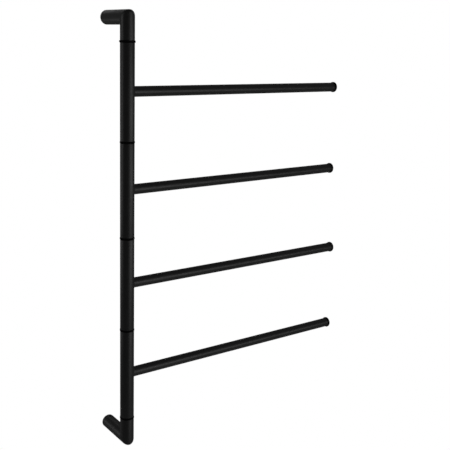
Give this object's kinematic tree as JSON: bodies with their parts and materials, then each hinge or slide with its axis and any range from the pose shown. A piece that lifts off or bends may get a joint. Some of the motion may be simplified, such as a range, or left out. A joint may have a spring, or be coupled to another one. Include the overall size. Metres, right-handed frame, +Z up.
{
  "type": "swivel towel rack",
  "caption": "Wall-mounted swivel towel rack: a round black post of stacked turning sections between two elbow brackets, each section carrying a long straight rail with a rounded end cap.",
  "frame": {"origin": "on the wall face, midway between the two wall screw holes", "axes": "+X to the right along the wall, +Y into the wall, +Z up"},
  "size_m": [0.46, 0.0821, 0.684],
  "materials": {
    "black_powder_coat": "satin powder coat",
    "black_cap": "semi-gloss moulded",
    "black_nylon": "matt",
    "white_acetal": "machined",
    "bright_steel": "turned",
    "black_oxide_steel": "black oxide"
  },
  "bodies": {
    "post": {"top_elbow": "black_powder_coat", "bottom_elbow": "black_powder_coat", "top_spindle_insert": "bright_steel", "bottom_spindle_insert": "bright_steel", "top_wall_spigot": "bright_steel", "bottom_wall_spigot": "bright_steel", "top_grub_screws": "black_oxide_steel", "bottom_grub_screws": "black_oxide_steel", "spindle": "bright_steel", "seam_washer_1": "black_nylon", "seam_washer_2": "black_nylon", "seam_washer_3": "black_nylon", "seam_washer_4": "black_nylon", "seam_washer_5": "black_nylon"},
    "arm_1": {"swivel_tube_1": "black_powder_coat", "upper_bush_1": "white_acetal", "lower_bush_1": "white_acetal", "rail_1": "black_powder_coat", "end_cap_1": "black_cap"},
    "arm_2": {"swivel_tube_2": "black_powder_coat", "upper_bush_2": "white_acetal", "lower_bush_2": "white_acetal", "rail_2": "black_powder_coat", "end_cap_2": "black_cap"},
    "arm_3": {"swivel_tube_3": "black_powder_coat", "upper_bush_3": "white_acetal", "lower_bush_3": "white_acetal", "rail_3": "black_powder_coat", "end_cap_3": "black_cap"},
    "arm_4": {"swivel_tube_4": "black_powder_coat", "upper_bush_4": "white_acetal", "lower_bush_4": "white_acetal", "rail_4": "black_powder_coat", "end_cap_4": "black_cap"}
  },
  "joints": [
    {"name": "arm_1_swing", "type": "hinge", "parent": "post", "child": "arm_1", "pos_m": [0, -0.07, 0.222], "axis": [0, 0, 1], "range_deg": [-195.1, 0.3]},
    {"name": "arm_2_swing", "type": "hinge", "parent": "post", "child": "arm_2", "pos_m": [0, -0.07, 0.074], "axis": [0, 0, 1], "range_deg": [-194.9, 0.5]},
    {"name": "arm_3_swing", "type": "hinge", "parent": "post", "child": "arm_3", "pos_m": [0, -0.07, -0.074], "axis": [0, 0, 1], "range_deg": [-193.5, 1.9]},
    {"name": "arm_4_swing", "type": "hinge", "parent": "post", "child": "arm_4", "pos_m": [0, -0.07, -0.222], "axis": [0, 0, 1], "range_deg": [-193.4, 2]}
  ]
}
